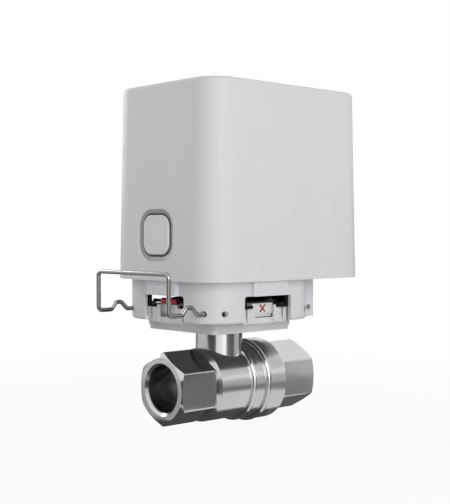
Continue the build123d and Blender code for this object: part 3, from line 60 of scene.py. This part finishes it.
# name: direction from the object, distance, size, power
LAMPS = {
    "key": ((-0.34, -0.80, 0.34), 1.0, 0.60, 4.05),
    "low_front": ((-0.25, -0.96, 0.06), 1.0, 0.20, 1.75),
    "rim": ((-0.18, 0.96, 0.34), 1.0, 0.50, 4.8),
    "far_fill": ((0.85, -0.35, 0.30), 1.1, 0.60, 1.2),
}
# Glowing cards round the valve that only gloss sees: painted reflections, dark and light, on the metal.
# Each follows one of these sections, given as radii from the stem and heights above the floor
CARD_SECTIONS = {
    "near": ((0.058, 0.0), (0.16, 0.0)),
    "far": ((0.16, 0.0), (0.60, 0.0), (0.60, 0.12)),
    "high": ((0.60, 0.22), (0.60, 0.60)),
}
# Section, then first and last bearing in degrees from the camera's own bearing, towards
# the picture's right, and how bright the card is
CARDS = {
    "near_back_card": ("near", 125, 256, 0.05),
    "near_left_card": ("near", -104, -60, 0.47),
    "near_left_dark_card": ("near", -60, -14, 0.09),
    "near_front_card": ("near", -14, 36, 0.80),
    "near_right_dark_card": ("near", 36, 84, 0.21),
    "near_right_card": ("near", 84, 125, 0.30),
    "left_back_card": ("far", -150, -128, 0.35),
    "left_card": ("far", -128, -58, 0.72),
    "left_dark_card": ("far", -58, -14, 0.09),
    "front_card": ("far", -14, 36, 1.12),
    "right_dark_card": ("far", 36, 80, 0.13),
    "right_card": ("far", 82, 113, 0.62),
    "right_back_card": ("far", 113, 210, 0.10),
    "high_right_card": ("high", 62, 112, 0.74),
}
CARD_LIFT = 0.0004
CARD_STEPS = 12
# Level cards near the valve, seen only in gloss, as lows and highs from the stem's axis, and a height above
# the pipe's axis, or none for a card that lies on the floor, then how bright the card is. The dark ones are
# painted shade in reflections
LEVEL_CARDS = {
    # Painted reflection: a bright card standing for lit floor in front of the barrel
    "painted_floor_light_card": ((-0.050, 0.050), (-0.050, -0.0121), None, 0.85),
    # Painted shade: a dark card standing for the shadow on the floor under the valve
    "painted_under_shade_card": ((-0.050, 0.0226), (-0.0120, 0.030), None, 0.08),
    # Painted shade: a dark card standing for the shadow under the outlet's hex
    "painted_outlet_shade_card": ((0.0228, 0.070), (-0.0120, 0.030), None, 0.13),
    # Painted shade: a dark card just under the adapter plate, standing for its shaded underside in the
    # barrel's reflection
    "painted_plate_shade_card": ((-0.027, 0.027), (-0.027, 0.027), 0.0222, 0.07),
}

# Where the valve's surface changes from milled flats to turned rounds and to bore
FLATS_END = {"valve_body": 17.6 * MM, "valve_end_piece": 200 * MM}
# Inside this radius the bore's colour is darkened as painted shade
BORE_SHADE_RADIUS = 9.7 * MM
MOUTH_RADIUS = 10.65 * MM

# Noise is centred on a half, so its middle range is what shows
SPREAD_RANGE = (0.3, 0.7)
TINT_RANGE = (0.32, 0.68)

# Surfaces: scales are in features per metre, and strengths are shares of a bump's height
PLASTIC_MOTTLE_SCALE = 60
PLASTIC_GLOSS_SCALE = 240
PLASTIC_GLOSS_SPREAD = 0.06
PLASTIC_GRAIN_SCALE = 9000
PLASTIC_GRAIN_DETAIL = 2.0
PLASTIC_GRAIN_RELIEF = 0.006 * MM
PLASTIC_GRAIN_STRENGTH = 0.5
PLASTIC_WAVE_SCALE = 30
PLASTIC_WAVE_RELIEF = 0.05 * MM
PLASTIC_WAVE_STRENGTH = 0.12

RUBBER_BLOOM_SCALE = 180
RUBBER_BLOOM_SHARE = 1.5
RUBBER_GLOSS_SCALE = 500
RUBBER_GLOSS_SPREAD = 0.08
RUBBER_GRAIN_SCALE = 4000
RUBBER_GRAIN_RELIEF = 0.01 * MM
RUBBER_GRAIN_STRENGTH = 0.5
RUBBER_SPECULAR_LEVEL = 0.3

METAL_STAIN_SCALE = 45
METAL_STAIN_SHARES = (0.93, 1.05)
METAL_MARK_SCALE = 900
METAL_MARK_RELIEF = 0.004 * MM
METAL_MARK_STRENGTH = 0.35
METAL_POLISH_SCALE = 130
METAL_POLISH_BELOW = 0.04
METAL_POLISH_ABOVE = 0.06
METAL_DETAIL = 4.0

VALVE_STAIN_SCALE = 38
VALVE_PLATE_COLOURS = ((0.57, 0.565, 0.56), (0.64, 0.635, 0.63))
# Painted shade for the inside of the bore
VALVE_BORE_SHADE = (0.32, 0.32, 0.32, 1)
VALVE_POLISH_SCALE = 90
VALVE_POLISH = (0.09, 0.15)
VALVE_SATIN_SCALE = 60
VALVE_SATIN = (0.17, 0.22)
VALVE_GLOSS_DETAIL = 5.0
VALVE_RIPPLE_SCALE = 140
VALVE_RIPPLE_RELIEF = 0.02 * MM
VALVE_RIPPLE_STRENGTH = 0.1
VALVE_MARK_SCALE = 700
VALVE_MARK_STRETCH = (9, 1, 1)
VALVE_MARK_RELIEF = 0.005 * MM
VALVE_MARK_STRENGTH = 0.4

BOARD_TRACK_SCALE = 320
BOARD_TRACK_EDGE = (0.04, 0.10)
BOARD_TRACK_SHARE = 2.2
BOARD_TRACK_RELIEF = 0.03 * MM
BOARD_TRACK_STRENGTH = 0.5
BOARD_GLOSS_SCALE = 400
BOARD_GLOSS = (0.22, 0.34)


def make_camera():
    data = bpy.data.cameras.new("camera")
    data.lens = CAMERA_LENS
    data.clip_start = CAMERA_NEAR_CLIP
    camera = bpy.data.objects.new("camera", data)
    camera.location = CAMERA_PLACE
    camera.rotation_euler = (pi / 2 - CAMERA_PITCH, 0, -CAMERA_YAW)
    bpy.context.scene.collection.objects.link(camera)
    bpy.context.scene.camera = camera


class Graph:
    """A material's node tree, with short calls for the nodes used here."""

    def __init__(self, name):
        self.material = bpy.data.materials.new(name)
        self.material.use_nodes = True
        self.tree = self.material.node_tree
        self.shader = self.tree.nodes["Principled BSDF"]
        self.place = self.add("ShaderNodeTexCoord").outputs["Object"]

    def add(self, kind, **settings):
        node = self.tree.nodes.new(kind)
        for key, value in settings.items():
            setattr(node, key, value)
        return node

    def join(self, source, target):
        self.tree.links.new(source, target)

    def noise(self, scale, detail=3.0, stretch=None):
        """Noise at a scale in features per metre, stretched along an axis where asked."""
        place = self.place
        if stretch:
            mapping = self.add("ShaderNodeMapping")
            mapping.inputs["Scale"].default_value = stretch
            self.join(place, mapping.inputs["Vector"])
            place = mapping.outputs["Vector"]
        noise = self.add("ShaderNodeTexNoise")
        noise.inputs["Scale"].default_value = scale
        noise.inputs["Detail"].default_value = detail
        self.join(place, noise.inputs["Vector"])
        return noise.outputs["Fac"]

    def spread(self, source, low, high, source_low=SPREAD_RANGE[0], source_high=SPREAD_RANGE[1]):
        """A value that runs from low to high as the source crosses its middle range."""
        node = self.add("ShaderNodeMapRange")
        node.inputs["From Min"].default_value = source_low
        node.inputs["From Max"].default_value = source_high
        node.inputs["To Min"].default_value = low
        node.inputs["To Max"].default_value = high
        self.join(source, node.inputs["Value"])
        return node.outputs["Result"]

    def tint(self, source, first, second):
        """A colour between two, as the source crosses its middle range."""
        ramp = self.add("ShaderNodeValToRGB")
        ramp.color_ramp.elements[0].position = TINT_RANGE[0]
        ramp.color_ramp.elements[0].color = (*first, 1)
        ramp.color_ramp.elements[1].position = TINT_RANGE[1]
        ramp.color_ramp.elements[1].color = (*second, 1)
        self.join(source, ramp.inputs["Fac"])
        return ramp.outputs["Color"]

    def bump(self, source, height, strength=1.0, under=None):
        node = self.add("ShaderNodeBump")
        node.inputs["Distance"].default_value = height
        node.inputs["Strength"].default_value = strength
        self.join(source, node.inputs["Height"])
        if under:
            self.join(under, node.inputs["Normal"])
        return node.outputs["Normal"]

    def colour(self, output):
        self.join(output, self.shader.inputs["Base Color"])

    def roughness(self, output):
        self.join(output, self.shader.inputs["Roughness"])

    def normal(self, output):
        self.join(output, self.shader.inputs["Normal"])


def shaded(colour, share):
    return tuple(channel * share for channel in colour)


def moulded(name, colour, rough=0.5, spread=0.03, gloss=0.4):
    """Moulded plastic: faint mottling, a fine spark texture and uneven gloss."""
    graph = Graph(name)
    mottle = graph.noise(PLASTIC_MOTTLE_SCALE)
    graph.colour(graph.tint(mottle, shaded(colour, 1 - spread), shaded(colour, 1 + spread)))
    uneven = graph.noise(PLASTIC_GLOSS_SCALE)
    graph.roughness(graph.spread(uneven, rough - PLASTIC_GLOSS_SPREAD, rough + PLASTIC_GLOSS_SPREAD))
    grain = graph.noise(PLASTIC_GRAIN_SCALE, PLASTIC_GRAIN_DETAIL)
    fine = graph.bump(grain, PLASTIC_GRAIN_RELIEF, PLASTIC_GRAIN_STRENGTH)
    wave = graph.noise(PLASTIC_WAVE_SCALE, 1.0)
    graph.normal(graph.bump(wave, PLASTIC_WAVE_RELIEF, PLASTIC_WAVE_STRENGTH, fine))
    graph.shader.inputs["Specular IOR Level"].default_value = gloss
    return graph.material


def rubber(name, colour, rough=0.72):
    """Soft rubber: matt, with a dusty bloom."""
    graph = Graph(name)
    graph.colour(graph.tint(graph.noise(RUBBER_BLOOM_SCALE), colour, shaded(colour, RUBBER_BLOOM_SHARE)))
    uneven = graph.noise(RUBBER_GLOSS_SCALE)
    graph.roughness(graph.spread(uneven, rough - RUBBER_GLOSS_SPREAD, rough + RUBBER_GLOSS_SPREAD))
    graph.normal(graph.bump(graph.noise(RUBBER_GRAIN_SCALE), RUBBER_GRAIN_RELIEF, RUBBER_GRAIN_STRENGTH))
    graph.shader.inputs["Specular IOR Level"].default_value = RUBBER_SPECULAR_LEVEL
    return graph.material


def metal(name, colour, rough=0.2, brushed=None):
    """Bare or plated metal: slight stains, uneven polish and fine tool marks."""
    graph = Graph(name)
    graph.shader.inputs["Metallic"].default_value = 1.0
    dull, bright = (shaded(colour, share) for share in METAL_STAIN_SHARES)
    graph.colour(graph.tint(graph.noise(METAL_STAIN_SCALE), dull, bright))
    marks = graph.noise(METAL_MARK_SCALE, METAL_DETAIL, brushed)
    uneven = graph.noise(METAL_POLISH_SCALE, METAL_DETAIL)
    graph.roughness(graph.spread(uneven, rough - METAL_POLISH_BELOW, rough + METAL_POLISH_ABOVE))
    graph.normal(graph.bump(marks, METAL_MARK_RELIEF, METAL_MARK_STRENGTH))
    return graph.material


def plated_valve(name, flats_end):
    """Nickel plate on brass: polished flats, satin turned rounds and a machined bore darkened with painted
    shade.
    """
    graph = Graph(name)
    graph.shader.inputs["Metallic"].default_value = 1.0
    axes = graph.add("ShaderNodeSeparateXYZ")
    graph.join(graph.place, axes.inputs[0])
    radius = graph.add("ShaderNodeVectorMath", operation="LENGTH")
    across = graph.add("ShaderNodeCombineXYZ")
    graph.join(axes.outputs["Y"], across.inputs["Y"])
    graph.join(axes.outputs["Z"], across.inputs["Z"])
    graph.join(across.outputs[0], radius.inputs[0])
    outside = graph.spread(radius.outputs["Value"], 0, 1, BORE_SHADE_RADIUS - EASE, BORE_SHADE_RADIUS)
    turned = graph.spread(axes.outputs["X"], 0, 1, flats_end - EASE, flats_end)
    mouth = graph.spread(radius.outputs["Value"], 1, 0, MOUTH_RADIUS - EASE, MOUTH_RADIUS)
    dull = graph.add("ShaderNodeMath", operation="MAXIMUM")
    graph.join(turned, dull.inputs[0])
    graph.join(mouth, dull.inputs[1])
    plate = graph.tint(graph.noise(VALVE_STAIN_SCALE), *VALVE_PLATE_COLOURS)
    # Painted shade: inside the bore the plate's colour gives way to a flat dark grey
    shade = graph.add("ShaderNodeMix", data_type="RGBA")
    shade.inputs["A"].default_value = VALVE_BORE_SHADE
    graph.join(outside, shade.inputs["Factor"])
    graph.join(plate, shade.inputs["B"])
    graph.colour(shade.outputs["Result"])
    polish = graph.spread(graph.noise(VALVE_POLISH_SCALE, VALVE_GLOSS_DETAIL), *VALVE_POLISH)
    satin = graph.spread(graph.noise(VALVE_SATIN_SCALE, VALVE_GLOSS_DETAIL), *VALVE_SATIN)
    gloss = graph.add("ShaderNodeMix", data_type="FLOAT")
    graph.join(dull.outputs[0], gloss.inputs["Factor"])
    graph.join(polish, gloss.inputs["A"])
    graph.join(satin, gloss.inputs["B"])
    graph.roughness(gloss.outputs["Result"])
    ripple = graph.bump(graph.noise(VALVE_RIPPLE_SCALE, 1.0), VALVE_RIPPLE_RELIEF, VALVE_RIPPLE_STRENGTH)
    marks = graph.noise(VALVE_MARK_SCALE, METAL_DETAIL, VALVE_MARK_STRETCH)
    graph.normal(graph.bump(marks, VALVE_MARK_RELIEF, VALVE_MARK_STRENGTH, ripple))
    return graph.material


def solder_mask(name, colour):
    """A circuit board: glossy mask over faint copper tracks."""
    graph = Graph(name)
    cells = graph.add("ShaderNodeTexVoronoi", feature="DISTANCE_TO_EDGE", distance="MANHATTAN")
    cells.inputs["Scale"].default_value = BOARD_TRACK_SCALE
    graph.join(graph.place, cells.inputs["Vector"])
    tracks = graph.spread(cells.outputs["Distance"], 0.0, 1.0, *BOARD_TRACK_EDGE)
    graph.colour(graph.tint(tracks, shaded(colour, BOARD_TRACK_SHARE), colour))
    graph.roughness(graph.spread(graph.noise(BOARD_GLOSS_SCALE), *BOARD_GLOSS))
    graph.normal(graph.bump(tracks, BOARD_TRACK_RELIEF, BOARD_TRACK_STRENGTH))
    return graph.material


LOOKS = {
    "nickel": lambda: plated_valve("nickel", FLATS_END["valve_body"]),
    "ball_chrome": lambda: metal("ball_chrome", (0.75, 0.75, 0.75), 0.08),
    "clip_wire": lambda: metal("clip_wire", (0.34, 0.34, 0.335), 0.08, (40, 1, 1)),
    "seat_white": lambda: moulded("seat_white", (0.86, 0.86, 0.84), 0.4),
    "seal_black": lambda: rubber("seal_black", (0.02, 0.02, 0.02)),
    "brass": lambda: metal("brass", (0.74, 0.57, 0.28), 0.24, (1, 1, 12)),
    "screw_steel": lambda: metal("screw_steel", (0.58, 0.58, 0.57), 0.28, (1, 1, 8)),
    "adapter_plastic": lambda: moulded("adapter_plastic", (0.60, 0.61, 0.62), 0.48),
    "dial_plastic": lambda: moulded("dial_plastic", (0.62, 0.63, 0.63), 0.5),
    "mark_red": lambda: moulded("mark_red", (0.30, 0.012, 0.02), 0.5, spread=0.08),
    "mark_grey": lambda: moulded("mark_grey", (0.42, 0.43, 0.43), 0.5),
    "sleeve_red": lambda: moulded("sleeve_red", (0.36, 0.006, 0.03), 0.3, spread=0.08),
    "black_plastic": lambda: moulded("black_plastic", (0.006, 0.006, 0.006), 0.6, spread=0.15, gloss=0.12),
    "base_plastic": lambda: moulded("base_plastic", (0.605, 0.615, 0.63), 0.46, spread=0.015, gloss=0.25),
    "cover_plastic": lambda: moulded(
        "cover_plastic", (0.612, 0.622, 0.638), 0.46, spread=0.012, gloss=0.2
    ),
    "bezel_plastic": lambda: moulded("bezel_plastic", (0.30, 0.305, 0.305), 0.42),
    "membrane": lambda: rubber("membrane", (0.06, 0.06, 0.06), 0.6),
    "button_plastic": lambda: moulded("button_plastic", (0.622, 0.632, 0.648), 0.42, spread=0.012),
    "gear_white": lambda: moulded("gear_white", (0.80, 0.79, 0.74), 0.4),
    "gearbox_grey": lambda: moulded("gearbox_grey", (0.07, 0.07, 0.075), 0.5),
    "motor_steel": lambda: metal("motor_steel", (0.52, 0.52, 0.51), 0.3, (1, 1, 6)),
    "contact_metal": lambda: metal("contact_metal", (0.62, 0.58, 0.46), 0.26),
    "board_green": lambda: solder_mask("board_green", (0.012, 0.10, 0.04)),
    "chip_black": lambda: moulded("chip_black", (0.018, 0.018, 0.018), 0.5),
    "shield": lambda: metal("shield", (0.64, 0.64, 0.64), 0.32),
    "socket_white": lambda: moulded("socket_white", (0.78, 0.77, 0.73), 0.35),
    "cell_wrap": lambda: moulded("cell_wrap", (0.06, 0.12, 0.30), 0.28),
    "lead_red": lambda: rubber("lead_red", (0.32, 0.02, 0.02), 0.5),
}
MATERIALS = {slot: make() for slot, make in LOOKS.items()}
END_PIECE_MATERIAL = plated_valve("nickel_end_piece", FLATS_END["valve_end_piece"])

# Nodes whose moulded edges show, and how far each edge is eased
EASED = {
    "cover": 0.35 * MM,
    "base_housing": 0.25 * MM,
    "adapter": 0.22 * MM,
    "position_dial": 0.25 * MM,
    "pointer": 0.12 * MM,
    "chassis": 0.15 * MM,
    "function_button": 0.22 * MM,
    "button_bezel": 0.15 * MM,
    "valve_body": 0.25 * MM,
    "valve_end_piece": 0.25 * MM,
    "pointer_sleeve": 0.2 * MM,
    "wire_clip": 0.15 * MM,
}
EASED_STEPS = 2
EASED_ANGLE = radians(38)


def dress_nodes():
    for name, node in NODES.items():
        node.data.materials.clear()
        node.data.materials.append(MATERIALS[SLOT_OF[name]])
        if name in EASED:
            bevel = node.modifiers.new("eased_edges", "BEVEL")
            bevel.width = EASED[name]
            bevel.segments = EASED_STEPS
            bevel.limit_method = "ANGLE"
            bevel.angle_limit = EASED_ANGLE
            bevel.use_clamp_overlap = True
            bevel.harden_normals = True
    NODES["valve_end_piece"].data.materials[0] = END_PIECE_MATERIAL


def flat_object(name, corners, faces):
    data = bpy.data.meshes.new(name)
    data.from_pydata(corners, [], faces)
    piece = bpy.data.objects.new(name, data)
    bpy.context.scene.collection.objects.link(piece)
    return piece


def make_floor():
    """A pale floor, white to the camera except where the object's shadow falls near it."""
    low = cad_low.z
    half = FLOOR_SIZE / 2
    corners = [(-half, -half, low), (half, -half, low), (half, half, low), (-half, half, low)]
    floor = flat_object("floor", corners, [(0, 1, 2, 3)])
    graph = Graph("floor")
    graph.shader.inputs["Base Color"].default_value = FLOOR_COLOUR
    graph.shader.inputs["Roughness"].default_value = FLOOR_ROUGHNESS
    graph.shader.inputs["Specular IOR Level"].default_value = FLOOR_SPECULAR_LEVEL
    white = graph.add("ShaderNodeEmission")
    away = graph.add("ShaderNodeVectorMath", operation="LENGTH")
    graph.join(graph.place, away.inputs[0])
    whiteness = graph.spread(away.outputs["Value"], FLOOR_WHITE_SHARE, 1, SHADOW_START, SHADOW_END)
    share = graph.add("ShaderNodeMath", operation="MULTIPLY")
    rays = graph.add("ShaderNodeLightPath")
    graph.join(rays.outputs["Is Camera Ray"], share.inputs[0])
    graph.join(whiteness, share.inputs[1])
    mix = graph.add("ShaderNodeMixShader")
    graph.join(share.outputs[0], mix.inputs[0])
    graph.join(graph.shader.outputs[0], mix.inputs[1])
    graph.join(white.outputs[0], mix.inputs[2])
    graph.join(mix.outputs[0], graph.tree.nodes["Material Output"].inputs["Surface"])
    floor.data.materials.append(graph.material)


def show_to_gloss_only(card, level):
    """Makes a glowing card of one grey, a painted reflection that shows only in gloss and neither lights nor
    shades.
    """
    graph = Graph(card.name)
    glow = graph.add("ShaderNodeEmission")
    glow.inputs["Strength"].default_value = level
    graph.join(glow.outputs[0], graph.tree.nodes["Material Output"].inputs["Surface"])
    graph.tree.nodes.remove(graph.shader)
    card.data.materials.append(graph.material)
    card.visible_camera = False
    card.visible_diffuse = False
    card.visible_shadow = False
    card.visible_transmission = False


def make_cards():
    """Painted reflections: glowing cards that lie on the floor or stand round the valve, and level ones near
    it.
    """
    low = cad_low.z + CARD_LIFT
    stem = Vector((STEM_PLACE, 0, 0))
    toward_camera = CAMERA_YAW + pi
    for name, (section_name, first, last, level) in CARDS.items():
        section = CARD_SECTIONS[section_name]
        corners = []
        for step in range(CARD_STEPS + 1):
            turned = first + (last - first) * step / CARD_STEPS
            bearing = toward_camera - radians(turned)
            out = Vector((sin(bearing), cos(bearing), 0))
            for radius, height in section:
                corners.append(tuple(stem + out * radius + Vector((0, 0, low + height))))
        faces = []
        row = len(section)
        for step in range(CARD_STEPS):
            for band in range(row - 1):
                near = row * step + band
                faces.append((near, near + row, near + row + 1, near + 1))
        show_to_gloss_only(flat_object(name, corners, faces), level)
    for name, ((left, right), (front, back), height, level) in LEVEL_CARDS.items():
        z = low if height is None else height
        places = ((left, front), (right, front), (right, back), (left, back))
        corners = [stem + Vector((x, y, z)) for x, y in places]
        show_to_gloss_only(flat_object(name, corners, [(0, 1, 2, 3)]), level)


def make_world():
    """White for what the camera, gloss and glass see, and a soft even light for the rest."""
    world = bpy.data.worlds.new("studio")
    bpy.context.scene.world = world
    world.use_nodes = True
    tree = world.node_tree
    background = tree.nodes["Background"]
    background.inputs["Color"].default_value = (1, 1, 1, 1)
    rays = tree.nodes.new("ShaderNodeLightPath")
    seen = rays.outputs["Is Camera Ray"]
    for kind in ("Is Glossy Ray", "Is Transmission Ray"):
        either = tree.nodes.new("ShaderNodeMath")
        either.operation = "MAXIMUM"
        tree.links.new(seen, either.inputs[0])
        tree.links.new(rays.outputs[kind], either.inputs[1])
        seen = either.outputs[0]
    level = tree.nodes.new("ShaderNodeMapRange")
    level.inputs["To Min"].default_value = AMBIENT
    level.inputs["To Max"].default_value = 1.0
    tree.links.new(seen, level.inputs["Value"])
    tree.links.new(level.outputs["Result"], background.inputs["Strength"])


def make_lamps():
    middle = (cad_low + cad_high) / 2
    for name, (direction, distance, size, power) in LAMPS.items():
        data = bpy.data.lights.new(name, "AREA")
        data.size = size
        data.energy = power
        lamp = bpy.data.objects.new(name, data)
        away = Vector(direction).normalized()
        lamp.location = middle + away * distance
        lamp.rotation_euler = away.to_track_quat("Z", "Y").to_euler()
        bpy.context.scene.collection.objects.link(lamp)


bpy.context.scene.view_settings.view_transform = "Standard"
make_camera()
make_world()
make_lamps()
make_floor()
make_cards()
dress_nodes()
